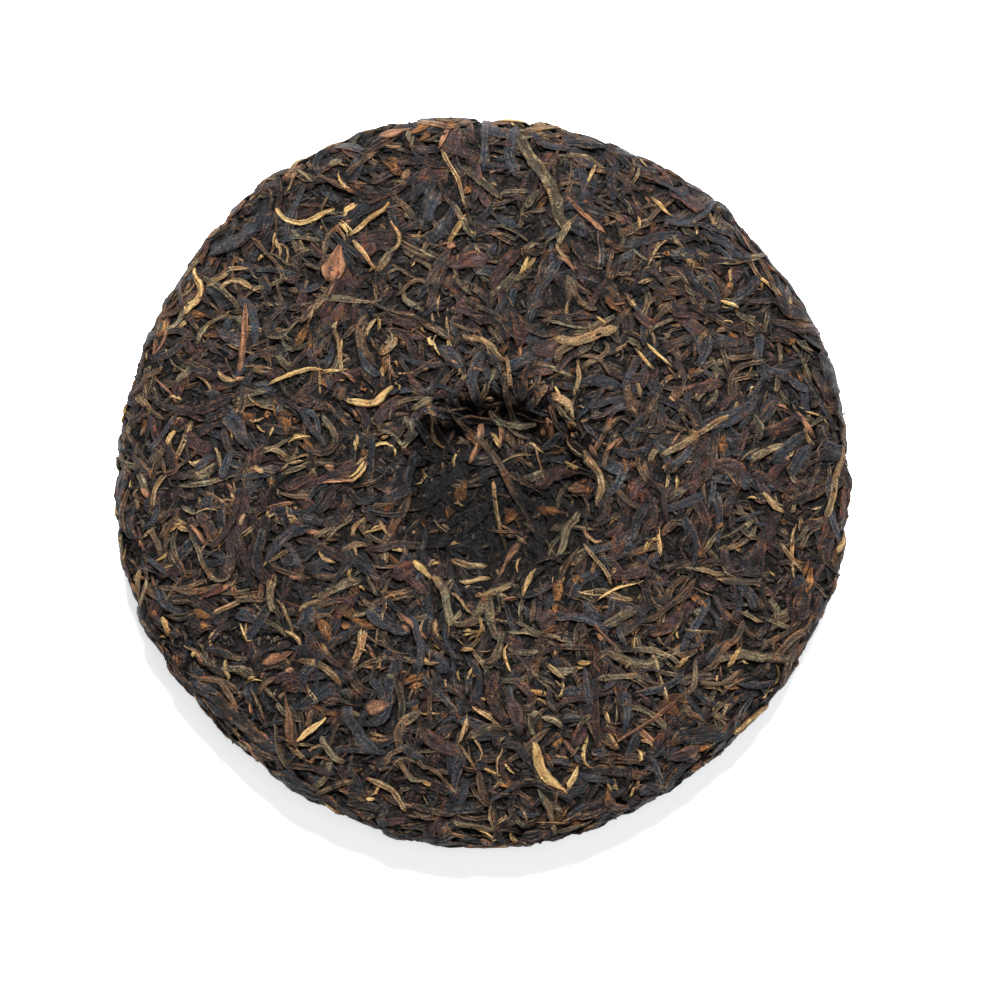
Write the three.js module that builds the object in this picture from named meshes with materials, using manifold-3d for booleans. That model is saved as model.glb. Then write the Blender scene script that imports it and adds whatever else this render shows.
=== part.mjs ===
// A pressed pu erh tea cake: one disc of long tea leaves, pressed dry into a single piece.
// It lies on its domed face, with the hollow left by the knot of its cloth bag on top.
// Millimetres, +Z up, origin under the middle of the cake, on the surface it lies on.
import * as THREE from "three";
import { mergeVertices } from "three/addons/utils/BufferGeometryUtils.js";
import Module from "manifold-3d";

const wasm = await Module();
wasm.setup();

// The cake's own sizes.
const RADIUS = 99.2;
const CROWN_HEIGHT = 22.6;
const CROWN_RADIUS = 42;
const SHOULDER_RADIUS = 92;
const SHOULDER_HEIGHT = 19;
const WIDEST_HEIGHT = 12.5;
const UNDERSIDE_RADIUS = 88;
const UNDERSIDE_HEIGHT = 6;
const FOOT_RADIUS = 34;
const FOOT_LIFT = 0.7;

// Its section without the hollow, from the middle of the top out round the edge to the middle underneath.
// Each stretch is a straight line or a Bezier curve over its [radius, height] points, cut into steps.
const SECTION = [
  { steps: 7, points: [[0, CROWN_HEIGHT], [CROWN_RADIUS, CROWN_HEIGHT]] },
  {
    steps: 8,
    points: [[CROWN_RADIUS, CROWN_HEIGHT], [76, CROWN_HEIGHT], [SHOULDER_RADIUS, SHOULDER_HEIGHT]],
  },
  {
    steps: 4,
    points: [[SHOULDER_RADIUS, SHOULDER_HEIGHT], [96.5, 18], [RADIUS, 15.6], [RADIUS, WIDEST_HEIGHT]],
  },
  {
    steps: 4,
    points: [[RADIUS, WIDEST_HEIGHT], [RADIUS, 9.4], [95, 7.5], [UNDERSIDE_RADIUS, UNDERSIDE_HEIGHT]],
  },
  { steps: 7, points: [[UNDERSIDE_RADIUS, UNDERSIDE_HEIGHT], [62, FOOT_LIFT], [FOOT_RADIUS, FOOT_LIFT]] },
  { steps: 3, points: [[FOOT_RADIUS, FOOT_LIFT], [0, FOOT_LIFT]] },
];
const ROUND_STEPS = 54;
const MEASURING_FINENESS = 6;

// The hollow left by the knot, a little off the middle.
const HOLLOW_FLOOR_RADIUS = 17;
const HOLLOW_RIM_RADIUS = 29.5;
const HOLLOW_FLOOR_HEIGHT = 12.2;
const HOLLOW_CENTRE = new THREE.Vector2(4, -3);

// How far the round outline and the pressed faces stray from true.
const OUTLINE_WAVES = [
  { lobes: 2, size: 0.47, turn: 1 },
  { lobes: 3, size: 0.35, turn: -0.42 },
  { lobes: 4, size: 0.59, turn: -0.77 },
  { lobes: 5, size: 0.48, turn: 1.67 },
];
const FACE_WAVES = [
  { along: new THREE.Vector3(0.11, 0.09, 0), size: 0.18, turn: 0.9 },
  { along: new THREE.Vector3(0.11, -0.09, 0), size: 0.18, turn: 1.7 },
  { along: new THREE.Vector3(0.17, -0.17, 0.2), size: 0.2, turn: 0 },
];

// The crags of the leaves in between, too many to model one by one.
// They fade out towards the middle of each face.
const CRAG_HEIGHT = 0.75;
const CRAG_STRAY = 0.32;
const CRAGGY_FROM_RADIUS = 30;

// The leaves pressed into the faces and the edge.
const TOP_LEAVES = 50;
const EDGE_LEAVES = 18;
const UNDERSIDE_LEAVES = 17;
const EDGE_ROW_ABOVE = 3.2;
const EDGE_ROW_BELOW = -2.6;
const EDGE_ROW_STRAY = 1;
const EDGE_SPREAD = 0.3;
const EDGE_SLANT = 22;
const LEAF_LENGTH = { least: 15, most: 31 };
const LEAF_WIDTH = { least: 3.2, most: 6.4 };
const LEAF_BEND = 45;
const NARROWNESS = 1.6;
const LEAF_STANDS_PROUD = 1.5;
const LEAF_LIFT = { least: -0.25, most: 0.2 };
const LEAF_SINKS = 1.5;
const TIP_SINKS = 0.4;
const TIP_BLUNTNESS = 0.6;
const TIP_HEIGHT = 0.6;
const LEAF_STEPS = 4;
const GOLDEN_ANGLE = Math.PI * (3 - Math.sqrt(5));
const SEED = 6;

// The top of a leaf's section from its left edge to its right, as shares of its width and of how far it
// stands proud. A broad leaf has a furrow between two ridges. The middle point leans to either side.
const BROAD_LEAF_WIDTH = 5;
const NARROW_SECTION = [[0.5, -0.3], [0, 1], [-0.5, -0.3]];
const BROAD_SECTION = [[0.5, -0.3], [0.27, 1], [0, 0.45], [-0.24, 0.9], [-0.5, -0.3]];
const MIDDLE_LEAN = 0.16;
const LEAN_BACK = -0.6;

// The wide flat leaf in the middle of the underside, which gives the cake a level foot.
const FOOT_LEAF = { at: [0, 0], heading: 20, bend: 0, length: 32, width: 11, proud: 3 };

// Corners closer than this become one, so that two leaves that graze each other leave no sliver.
const WELD = 0.01;

// The leaves that catch the eye, each as seen from above: its middle, heading and bend in degrees, length
// and width.
const NOTABLE_LEAVES = [
  { at: [17, 80], heading: -66, bend: 8, length: 30, width: 3.8 },
  { at: [-6, 79], heading: -66, bend: 6, length: 21, width: 2 },
  { at: [-10, 68], heading: 54, bend: 0, length: 14, width: 4 },
  { at: [-30, 69], heading: 50, bend: 25, length: 15, width: 2 },
  { at: [-39, 57], heading: 75, bend: 0, length: 10, width: 6.5 },
  { at: [-48, 67], heading: 8, bend: 120, length: 18, width: 1.8 },
  { at: [-66, 63], heading: 27, bend: 5, length: 17, width: 4.2 },
  { at: [-79, 52], heading: 77, bend: 20, length: 15, width: 2.2 },
  { at: [-64, 37], heading: 84, bend: 0, length: 20, width: 2 },
  { at: [-36, 47], heading: -3, bend: 40, length: 20, width: 2.2 },
  { at: [-50, 28], heading: 15, bend: -60, length: 17, width: 1.8 },
  { at: [-29, 21], heading: 17, bend: 30, length: 14, width: 2.4 },
  { at: [4, 4], heading: -50, bend: -8, length: 40, width: 2.4 },
  { at: [4, -10], heading: 96, bend: 0, length: 20, width: 1.8 },
  { at: [57, 11], heading: 31, bend: 0, length: 22, width: 2 },
  { at: [94, -1], heading: 74, bend: 12, length: 21, width: 2 },
  { at: [46, -64], heading: 37, bend: 18, length: 26, width: 1.8 },
  { at: [17, -77], heading: -58, bend: 0, length: 18, width: 2.9 },
  { at: [-43, -52], heading: -33, bend: -45, length: 15, width: 2.1 },
  { at: [-52, -65], heading: 96, bend: 0, length: 15, width: 2.9 },
  { at: [-65, -65], heading: -43, bend: 0, length: 20, width: 3.6 },
  { at: [-24, -84], heading: -48, bend: -45, length: 14, width: 1.9 },
];

const COLOURS = { pressedLeaf: 0x49403a };

const radians = THREE.MathUtils.degToRad;

// A repeatable run of draws between 0 and 1.
function drawsFrom(seed) {
  let state = seed >>> 0;
  return () => {
    state = (state + 0x6d2b79f5) >>> 0;
    let mixed = Math.imul(state ^ (state >>> 15), 1 | state);
    mixed = (mixed + Math.imul(mixed ^ (mixed >>> 7), 61 | mixed)) ^ mixed;
    return ((mixed ^ (mixed >>> 14)) >>> 0) / 2 ** 32;
  };
}

const draw = drawsFrom(SEED);
const between = (least, most) => least + (most - least) * draw();

// The points of the section, with each stretch cut into its own steps, or into more for measuring on.
function sectionPoints(fineness = 1) {
  const curves = { 2: THREE.LineCurve, 3: THREE.QuadraticBezierCurve, 4: THREE.CubicBezierCurve };
  const places = [];
  for (const { steps, points } of SECTION) {
    const curve = new curves[points.length](...points.map(([r, z]) => new THREE.Vector2(r, z)));
    places.push(...curve.getPoints(steps * fineness).slice(0, -1));
  }
  places.push(new THREE.Vector2(0, FOOT_LIFT));
  return places;
}

// How much wider than round the cake is towards an angle, as a factor.
function outlineFactor(angle) {
  let extra = 0;
  for (const { lobes, size, turn } of OUTLINE_WAVES) {
    extra += size * Math.cos(lobes * angle + turn);
  }
  return 1 + extra / RADIUS;
}

// A point of the round cake, moved out to the true outline.
function outlined(point) {
  const wide = outlineFactor(Math.atan2(point.y, point.x));
  return new THREE.Vector3(point.x * wide, point.y * wide, point.z);
}

// How far the hollow lowers a point of the top face.
function hollowDepth(x, y) {
  const fromMiddle = Math.hypot(x - HOLLOW_CENTRE.x, y - HOLLOW_CENTRE.y);
  const share = THREE.MathUtils.smoothstep(fromMiddle, HOLLOW_FLOOR_RADIUS, HOLLOW_RIM_RADIUS);
  return (CROWN_HEIGHT - HOLLOW_FLOOR_HEIGHT) * (1 - share);
}

// The slow lumps of the pressed faces.
function lump(place) {
  let rise = 0;
  for (const { along, size, turn } of FACE_WAVES) {
    rise += size * Math.sin(place.dot(along) + turn);
  }
  return rise;
}

const MEASURING = sectionPoints(MEASURING_FINENESS);
const UP = new THREE.Vector3(0, 0, 1);

// The nearest point of the cake's surface to a point, and the way out of the surface there.
function onSurface(point) {
  const angle = Math.atan2(point.y, point.x);
  const wide = outlineFactor(angle);
  const seen = new THREE.Vector2(Math.hypot(point.x, point.y) / wide, point.z);
  const stretch = new THREE.Line3();
  let best = { distance: Infinity };
  for (let i = 0; i + 1 < MEASURING.length; i++) {
    const [a, b] = [MEASURING[i], MEASURING[i + 1]];
    stretch.start.set(a.x, a.y, 0);
    stretch.end.set(b.x, b.y, 0);
    const near = stretch.closestPointToPoint(new THREE.Vector3(seen.x, seen.y, 0), true, new THREE.Vector3());
    const distance = Math.hypot(near.x - seen.x, near.y - seen.y);
    if (distance < best.distance) {
      best = { distance, r: near.x, z: near.y, outR: a.y - b.y, outZ: b.x - a.x };
    }
  }
  const foot = new THREE.Vector3(Math.cos(angle) * best.r * wide, Math.sin(angle) * best.r * wide, best.z);
  const normal = new THREE.Vector3(Math.cos(angle) * best.outR, Math.sin(angle) * best.outR, best.outZ);
  normal.normalize();
  if (normal.z > 0.5) foot.z -= hollowDepth(foot.x, foot.y);
  return { foot, normal };
}

// A closed mesh geometry as a solid.
function solidFrom(geometry) {
  const bare = geometry.clone();
  bare.deleteAttribute("normal");
  bare.deleteAttribute("uv");
  const merged = mergeVertices(bare, 1e-4);
  return new wasm.Manifold(
    new wasm.Mesh({
      numProp: 3,
      vertProperties: new Float32Array(merged.attributes.position.array),
      triVerts: new Uint32Array(merged.index.array),
    }),
  );
}

// The bare cake: the section turned round, then hollowed and made craggy at the size of a leaf.
function cakeCore() {
  const section = sectionPoints().reverse();
  const turned = new THREE.LatheGeometry(section, ROUND_STEPS);
  turned.rotateX(Math.PI / 2);
  const places = turned.attributes.position;
  const crags = Array.from({ length: ROUND_STEPS * section.length }, () => [between(-1, 1), between(-1, 1)]);
  for (let i = 0; i < places.count; i++) {
    const [turn, along] = [Math.floor(i / section.length), i % section.length];
    if (turn === ROUND_STEPS) {
      places.setXYZ(i, places.getX(along), places.getY(along), places.getZ(along));
      continue;
    }
    const [rise, stray] = crags[turn * section.length + along];
    const craggy = Math.min(1, section[along].x / CRAGGY_FROM_RADIUS);
    const place = new THREE.Vector3().fromBufferAttribute(places, i);
    place.applyAxisAngle(UP, (stray * craggy * CRAG_STRAY * 2 * Math.PI) / ROUND_STEPS);
    const { foot, normal } = onSurface(outlined(place));
    foot.addScaledVector(normal, rise * craggy * CRAG_HEIGHT + lump(foot));
    places.setXYZ(i, foot.x, foot.y, foot.z);
  }
  return solidFrom(turned);
}

// The middle line of a leaf in its own plane: a run of points through the origin that bends evenly.
function leafLine({ length, bend }) {
  const points = [new THREE.Vector2()];
  for (let i = 0; i < LEAF_STEPS; i++) {
    const turn = radians(bend) * ((i + 0.5) / LEAF_STEPS - 0.5);
    const step = new THREE.Vector2(Math.cos(turn), Math.sin(turn)).multiplyScalar(length / LEAF_STEPS);
    points.push(points[i].clone().add(step));
  }
  const middle = new THREE.Box2().setFromPoints(points).getCenter(new THREE.Vector2());
  return points.map((p) => p.sub(middle));
}

// One leaf lying along the surface, pointed at both ends, with its underside sunk into the cake.
function pressedLeaf({ seat, heading, bend, length, width, proud = LEAF_STANDS_PROUD }) {
  const { foot, normal } = onSurface(seat);
  const side = Math.abs(normal.z) > 0.5 ? new THREE.Vector3(1, 0, 0) : UP.clone().cross(normal);
  const ahead = side.clone().projectOnPlane(normal).normalize().applyAxisAngle(normal, radians(heading));
  const across = normal.clone().cross(ahead);
  const section = width < BROAD_LEAF_WIDTH ? NARROW_SECTION : BROAD_SECTION;
  const lean = MIDDLE_LEAN * between(-1, 1);
  const lift = between(LEAF_LIFT.least, LEAF_LIFT.most);
  const rings = leafLine({ length, bend }).map((p) => {
    const aim = foot.clone().addScaledVector(ahead, p.x).addScaledVector(across, p.y);
    return onSurface(aim.addScaledVector(normal, 1));
  });
  const places = [];
  rings.forEach(({ foot: middle, normal: out }, i) => {
    const before = rings[Math.max(0, i - 1)].foot;
    const after = rings[Math.min(LEAF_STEPS, i + 1)].foot;
    const left = out.clone().cross(after.clone().sub(before)).normalize();
    if (i === 0 || i === LEAF_STEPS) {
      places.push(middle.clone().addScaledVector(out, lift - TIP_SINKS));
      return;
    }
    const full = Math.sin((Math.PI * i) / LEAF_STEPS) ** TIP_BLUNTNESS;
    const height = proud * (TIP_HEIGHT + (1 - TIP_HEIGHT) * full);
    for (const [share, rise] of section) {
      const leaning = share === 0 ? lean * (i % 2 ? 1 : LEAN_BACK) : share;
      const spot = middle.clone().addScaledVector(left, leaning * width * full);
      places.push(spot.addScaledVector(out, lift + rise * height));
    }
    places.push(middle.clone().addScaledVector(out, -LEAF_SINKS));
  });
  return solidFrom(tubeFrom(places, LEAF_STEPS - 1));
}

// A closed skin over rings of points that starts and ends in a single point.
function tubeFrom(places, ringCount) {
  const ringSize = (places.length - 2) / ringCount;
  const last = places.length - 1;
  const faces = [];
  for (let i = 0; i < ringSize; i++) {
    const next = (i + 1) % ringSize;
    faces.push(0, 1 + next, 1 + i);
    for (let ring = 0; ring + 1 < ringCount; ring++) {
      const here = 1 + ring * ringSize;
      const there = here + ringSize;
      faces.push(here + i, here + next, there + i, here + next, there + next, there + i);
    }
    const end = 1 + (ringCount - 1) * ringSize;
    faces.push(last, end + i, end + next);
  }
  const geometry = new THREE.BufferGeometry().setFromPoints(places);
  return geometry.setIndex(faces);
}

// A leaf with its sizes drawn by chance.
function chanceLeaf(seat, heading) {
  const broad = draw() ** NARROWNESS;
  return {
    seat,
    heading,
    bend: between(-LEAF_BEND, LEAF_BEND),
    length: between(LEAF_LENGTH.least, LEAF_LENGTH.most),
    width: LEAF_WIDTH.least + (LEAF_WIDTH.most - LEAF_WIDTH.least) * broad,
  };
}

// Leaves spread evenly over a face, out to a given radius.
function faceLeaves(count, reach, height) {
  const leaves = [];
  for (let i = 0; i < count; i++) {
    const r = reach * Math.sqrt((i + 0.5) / count);
    const angle = i * GOLDEN_ANGLE;
    const seat = new THREE.Vector3(r * Math.cos(angle), r * Math.sin(angle), height);
    leaves.push(chanceLeaf(seat, between(0, 180)));
  }
  return leaves;
}

// Leaves round the edge, nearly level, at alternating heights.
function edgeLeaves() {
  const leaves = [];
  for (let i = 0; i < EDGE_LEAVES; i++) {
    const angle = (2 * Math.PI * (i + between(-EDGE_SPREAD, EDGE_SPREAD))) / EDGE_LEAVES;
    const row = i % 2 ? EDGE_ROW_ABOVE : EDGE_ROW_BELOW;
    const height = WIDEST_HEIGHT + row + between(-EDGE_ROW_STRAY, EDGE_ROW_STRAY);
    const seat = new THREE.Vector3(RADIUS * Math.cos(angle), RADIUS * Math.sin(angle), height);
    leaves.push(chanceLeaf(seat, between(-EDGE_SLANT, EDGE_SLANT)));
  }
  return leaves;
}

// A listed leaf, seated at a height.
function seatedLeaf({ at: [x, y], ...sizes }, height) {
  return { seat: new THREE.Vector3(x, y, height), ...sizes };
}

// Everything fused, then pressed level underneath.
function fusedCake() {
  const leaves = [
    ...faceLeaves(TOP_LEAVES, SHOULDER_RADIUS, CROWN_HEIGHT),
    ...edgeLeaves(),
    ...faceLeaves(UNDERSIDE_LEAVES, UNDERSIDE_RADIUS, 0),
    ...NOTABLE_LEAVES.map((leaf) => seatedLeaf(leaf, CROWN_HEIGHT)),
    seatedLeaf(FOOT_LEAF, 0),
  ];
  let cake = cakeCore();
  for (const leaf of leaves) cake = cake.add(pressedLeaf(leaf));
  const below = new THREE.BoxGeometry(3 * RADIUS, 3 * RADIUS, RADIUS).translate(0, 0, -RADIUS / 2);
  cake = cake.subtract(solidFrom(below));
  return cake.decompose().reduce((a, b) => (a.volume() > b.volume() ? a : b));
}

// A solid's faces as a geometry that stands on the origin, centred over it.
function geometryOf(solid) {
  const { vertProperties, triVerts } = solid.getMesh();
  const raw = new THREE.BufferGeometry();
  raw.setAttribute("position", new THREE.BufferAttribute(new Float32Array(vertProperties), 3));
  raw.setIndex(new THREE.BufferAttribute(new Uint32Array(triVerts), 1));
  const geometry = mergeVertices(raw, WELD);
  geometry.setIndex(openFaces(Array.from(geometry.index.array)));
  geometry.computeBoundingBox();
  const centre = geometry.boundingBox.getCenter(new THREE.Vector3());
  geometry.translate(-centre.x, -centre.y, -geometry.boundingBox.min.z);
  geometry.computeVertexNormals();
  return geometry;
}

// The faces that still have three corners of their own.
function openFaces(corners) {
  const kept = [];
  for (let i = 0; i < corners.length; i += 3) {
    const face = corners.slice(i, i + 3);
    if (new Set(face).size === 3) kept.push(...face);
  }
  return kept;
}

const teaCake = new THREE.Mesh(
  geometryOf(fusedCake()),
  new THREE.MeshStandardMaterial({ color: COLOURS.pressedLeaf, roughness: 0.75, metalness: 0 }),
);
teaCake.name = "tea_cake";

const group = new THREE.Group();
group.add(teaCake);
export default group;
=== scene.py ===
"""A pressed pu erh tea cake, lying with its knot hollow up: thousands of leaves laid over a dark core.

Lengths are in millimetres while the leaves are laid, and become metres when a mesh is made.
"""

import math

import bpy
import numpy as np
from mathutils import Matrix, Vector


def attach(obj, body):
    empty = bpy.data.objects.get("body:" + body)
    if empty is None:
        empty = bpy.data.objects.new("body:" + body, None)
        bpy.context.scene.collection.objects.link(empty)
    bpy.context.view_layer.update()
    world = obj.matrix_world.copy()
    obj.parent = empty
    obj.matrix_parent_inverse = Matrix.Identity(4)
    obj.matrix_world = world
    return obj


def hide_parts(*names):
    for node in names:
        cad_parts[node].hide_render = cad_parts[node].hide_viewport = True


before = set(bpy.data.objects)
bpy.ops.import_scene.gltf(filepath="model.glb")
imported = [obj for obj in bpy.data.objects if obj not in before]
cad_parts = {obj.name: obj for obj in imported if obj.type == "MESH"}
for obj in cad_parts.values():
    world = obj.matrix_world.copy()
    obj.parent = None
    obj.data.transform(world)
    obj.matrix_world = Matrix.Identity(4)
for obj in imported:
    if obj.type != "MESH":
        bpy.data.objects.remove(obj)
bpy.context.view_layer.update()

MM = 0.001

# The cake's section without its hollow, from the middle of the top out round the edge to the middle
# underneath: stretches of a straight line or a Bezier curve over (radius, height) points.
SECTION = (
    ((0, 22.6), (42, 22.6)),
    ((42, 22.6), (76, 22.6), (92, 19)),
    ((92, 19), (96.5, 18), (99.2, 15.6), (99.2, 12.5)),
    ((99.2, 12.5), (99.2, 9.4), (95, 7.5), (88, 6)),
    ((88, 6), (62, 0.7), (34, 0.7)),
    ((34, 0.7), (0, 0.7)),
)
STRETCH_STEPS = 60
OUTLINE_WAVES = ((2, 0.47, 1.0), (3, 0.35, -0.42), (4, 0.59, -0.77), (5, 0.48, 1.67))  # lobes, size, turn
OUTLINE_RADIUS = 99.2
CAKE_CENTRE = (-0.3, 0.6)
FACE_WAVES = (  # direction, size, turn
    ((0.11, 0.09, 0), 0.18, 0.9),
    ((0.11, -0.09, 0), 0.18, 1.7),
    ((0.17, -0.17, 0.2), 0.2, 0.0),
)

# The hollow left by the knot.
HOLLOW_CENTRE = (3.7, -2.4)
HOLLOW_FLOOR_RADIUS = 17
HOLLOW_RIM_RADIUS = 29.5
HOLLOW_DEPTH = 10.4

# The leaves lie on a core this far inside the cake's surface, and are pressed level at about this height
# over it. A map with cells of this size keeps how high they stand. A stiff leaf bridges gaps of about this
# length, and sinks or rises towards what is under it by this share of the difference, within these limits.
INSET = 1.7
PRESSED_LEVEL = 1.95
CELL = 0.45
MAP_MARGIN = 12
STIFFNESS = 1.6
DRAPE_SHARE = 0.4
DRAPE_LIMITS = (-0.3, 0.25)

# Painted shade between the leaves: full at this depth under what stands within a few cells around, and
# more of it in the hollow, where pale leaves keep more of their colour. A place with leaves lower than
# GAP_BELOW is a gap.
DEEP = 1.0
AROUND = 3
HOLLOW_SHADE = 0.78
PALE_KINDS = ("olive_strips", "tan_strips", "amber_flakes", "golden_buds", "red_stems")
PALE_SHADE = 0.5
GAP_BELOW = 0.45

# The kinds of leaf: share of all leaves, length and width from least to most, thickness, depth of its
# lengthwise folds, number of folds across it, how round its back is, bend either way in degrees, and points
# across its back.
KINDS = {
    "slate_leaves": dict(
        share=0.19, length=(7, 24), width=(1.3, 4.7), thick=0.42, fold=0.17, folds=2.4, round=6, bend=38,
        across=9,
    ),
    "charcoal_leaves": dict(
        share=0.2, length=(6, 22), width=(1.1, 4.2), thick=0.42, fold=0.18, folds=2.4, round=5, bend=46,
        across=9,
    ),
    "purple_leaves": dict(
        share=0.12, length=(5, 17), width=(1.6, 5.0), thick=0.34, fold=0.2, folds=3.0, round=8, bend=30,
        across=9,
    ),
    "brown_strips": dict(
        share=0.17, length=(6, 22), width=(0.8, 2.9), thick=0.46, fold=0.19, folds=1.9, round=4, bend=58,
        across=8,
    ),
    "olive_strips": dict(
        share=0.115, length=(6, 22), width=(0.8, 3.0), thick=0.44, fold=0.19, folds=2.0, round=4,
        bend=60, across=8,
    ),
    "tan_strips": dict(
        share=0.085, length=(5, 17), width=(0.7, 2.1), thick=0.46, fold=0.2, folds=1.6, round=3.4,
        bend=75, across=7,
    ),
    "amber_flakes": dict(
        share=0.05, length=(3, 11), width=(1.6, 4.8), thick=0.36, fold=0.12, folds=2.2, round=6, bend=30,
        across=7,
    ),
    "golden_buds": dict(
        share=0.06, length=(2.5, 12), width=(0.8, 1.7), thick=0.6, fold=0.2, folds=1.2, round=2.6,
        bend=85, across=6,
    ),
    "red_stems": dict(
        share=0.04, length=(3, 14), width=(0.8, 2.6), thick=0.45, fold=0.12, folds=1.3, round=3.4,
        bend=22, across=6,
    ),
}
TOP_LEAVES = 2900
UNDERSIDE_LEAVES = 1900
EDGE_LEAVES = 560

# Shares of the leaves that lie in pairs, are torn to small bits no shorter than SHORTEST, lie along the
# flow of their neighbours, or have a broken tip. A leaf bent more than SHARP_BEND is hooked near its tip.
# Amber flakes, and red leaves wider than FLAKE_WIDTH, are flat.
BUNDLED = 0.3
SMALL_BITS = 0.4
SHORTEST = 2.4
FLOWING = 0.55
BROKEN = 0.45
SHARP_BEND = math.radians(80)
HOOKED = 3
FLAKE_WIDTH = 2.4
FLAT = 12

# Leaves turn along the rim from this distance out, all of them that much further out.
RIM_WAY_FROM = 88
RIM_WAY_SPAN = 13

# Points along a leaf's middle line and along each of its ragged sides, how far apart its kinks and rags
# are, and the steps of its crumpling along and across it.
SPINE_POINTS = 49
SIDE_POINTS = 24
KINK_SPACING = 2.6
RAG_SPACING = 0.9
RAG_DEPTH = 0.3
LUMP_ROWS = 8
LUMP_COLUMNS = 4

# Mesh rings along a leaf are this far apart. A leaf is left out where no more than LEAST_SEEN of it shows,
# and a point shows if it lies no more than HIDDEN_BELOW under the leaves over it.
RING_SPACING = 1.48
HIDDEN_BELOW = 0.1
LEAST_SEEN = 0.04
NOTABLE_ORDER = 1.15
SEED = 357

# Rows from the middle of the top to the middle underneath, and points round each, of the core and the
# crumbs' ground.
CORE_ROWS, CORE_TURNS = 120, 210
CRUMB_ROWS, CRUMB_TURNS = 300, 560

# Leaves that catch the eye, seen from above: kind, middle, heading in degrees, length, width, bend and
# sway.
NOTABLE_LEAVES = (
    ("golden_buds", -76.8, 50, 77, 15.5, 2.2, 0, -40),
    ("golden_buds", -47.2, 69.3, 151, 18.5, 1.7, -122, 0),
    ("golden_buds", -29.7, 68.7, 50, 14.5, 1.8, 25, 10),
    ("tan_strips", -31.2, 59.3, -55, 9.5, 1.5, 10, 0),
    ("red_stems", -38.7, 57, 75, 11, 7.4, 0, 0),
    ("red_stems", -63.9, 37.3, 84.5, 20, 2, 0, 0),
    ("olive_strips", -35.7, 47.2, -3, 19.5, 2, 40, 0),
    ("slate_leaves", -66.2, 63.4, 27, 16, 4.2, 5, 0),
    ("golden_buds", -49.6, 27.6, 15, 17, 1.3, -60, 0),
    ("golden_buds", -29.4, 21, 17, 14.5, 2.4, 30, 0),
    ("tan_strips", 7.4, 28.5, 103, 9.5, 1.5, -20, 0),
    ("tan_strips", 25.7, 26, 81, 9, 1.4, 0, 0),
    ("brown_strips", 3.5, 3.7, -50, 41.5, 2, -8, 0),
    ("tan_strips", 4.4, -10, 96, 20.5, 1.4, 0, 0),
    ("amber_flakes", -5.2, -2.8, 85, 8, 4.2, 0, 0),
    ("olive_strips", 13.8, 0.5, 18, 8, 2.5, 0, 0),
    ("red_stems", 6.8, -14.4, -5, 11, 1, 5, 0),
    ("red_stems", 26.4, -2.8, -10, 6, 3.6, 0, 0),
    ("golden_buds", 37, -29.9, 32, 14, 1.1, 0, 0),
    ("golden_buds", 12.7, -28.2, 64, 8, 2, 0, 0),
    ("golden_buds", 17.2, -77.5, -58, 18, 2.9, 0, -20),
    ("golden_buds", 24.4, -79.8, 72, 6.8, 2, 0, 0),
    ("golden_buds", -45.8, -68, 41, 10.5, 1.8, 25, 0),
    ("red_stems", -27.3, -61.5, 15, 9, 5.2, 0, 0),
    ("red_stems", -54.8, -48.4, 22, 9.5, 3.8, 0, 0),
    ("tan_strips", -43, -51.9, -33, 15, 2, -45, 0),
    ("red_stems", -52.3, -65.5, 96, 14.8, 2.9, 0, 0),
    ("charcoal_leaves", -65.5, -65, -43, 20, 3.4, 0, 0),
    ("red_stems", 46.3, -64.2, 37, 26.5, 1.3, 18, 0),
    ("golden_buds", 67.6, -48.3, 52, 7.5, 2, 0, 0),
    ("olive_strips", 36.8, -53.5, 6, 12, 1.8, -45, 0),
    ("golden_buds", 72.5, -64.2, 34, 14, 1.8, 0, 15),
    ("tan_strips", 0.5, -97.9, 7, 14.5, 2, 35, 0),
    ("tan_strips", -24.5, -84.1, -48, 14, 1.6, -45, 0),
    ("tan_strips", 94, -1, 74, 21, 1.7, 12, 0),
    ("golden_buds", 95.3, -16.9, 66, 7.5, 2, 0, 0),
    ("olive_strips", 73.3, 13.3, 98, 8, 2.6, 0, 0),
    ("tan_strips", 56.7, 10.9, 31, 22.5, 1.9, 0, 0),
    ("golden_buds", 48.6, 73.6, -44, 8.8, 1.5, 0, 0),
    ("golden_buds", 43.6, 31.8, -47, 8, 1.4, 30, 0),
    ("golden_buds", 47.4, 32.9, -45, 9.5, 1.1, 35, 0),
    ("olive_strips", 16.9, 80.5, -66, 30, 3.8, 8, 0),
    ("red_stems", 26.3, 72.7, -47, 11.6, 1.6, 0, 0),
    ("tan_strips", -6.5, 78.8, -66, 21.5, 1.4, 6, 0),
    ("golden_buds", -6.5, 66.7, 60, 9.5, 1.8, -60, 0),
    ("red_stems", -22.9, 92.3, 15, 10, 2.6, 0, 0),
    ("golden_buds", 8.2, 98.2, -9, 10.5, 1.4, 0, 0),
    ("slate_leaves", -10.1, 67.8, 54, 14, 4, 0, 0),
    ("tan_strips", 28, 38, 8, 18, 2.8, 20, 0),
    ("tan_strips", 1, 35.4, -27, 14, 2, 0, 15),
    ("tan_strips", 22.5, 19.5, -55, 10, 2.4, 0, 20),
    ("tan_strips", 30.5, 0, -74, 17, 2.2, 0, 25),
    ("amber_flakes", 19.5, -9, -12, 10, 3.4, 0, 0),
    ("amber_flakes", -2.5, 11, -52, 9, 2.8, 0, 0),
    ("golden_buds", 4, 10.5, -60, 5.5, 1.5, 0, 0),
    ("golden_buds", -16, -25, -45, 7, 1.8, 20, 0),
    ("tan_strips", -3.4, -23.6, -8, 11, 2.2, 30, 0),
    ("tan_strips", -1.5, -27.5, 10, 9, 1.4, 30, 0),
)

draws = np.random.default_rng(SEED)


def bezier(points, share):
    """The points of a Bezier curve of any degree at shares 0 to 1 of its run."""
    points = [np.outer(np.ones_like(share), p) for p in points]
    while len(points) > 1:
        points = [a + (b - a) * share[:, None] for a, b in zip(points, points[1:])]
    return points[0]


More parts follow.
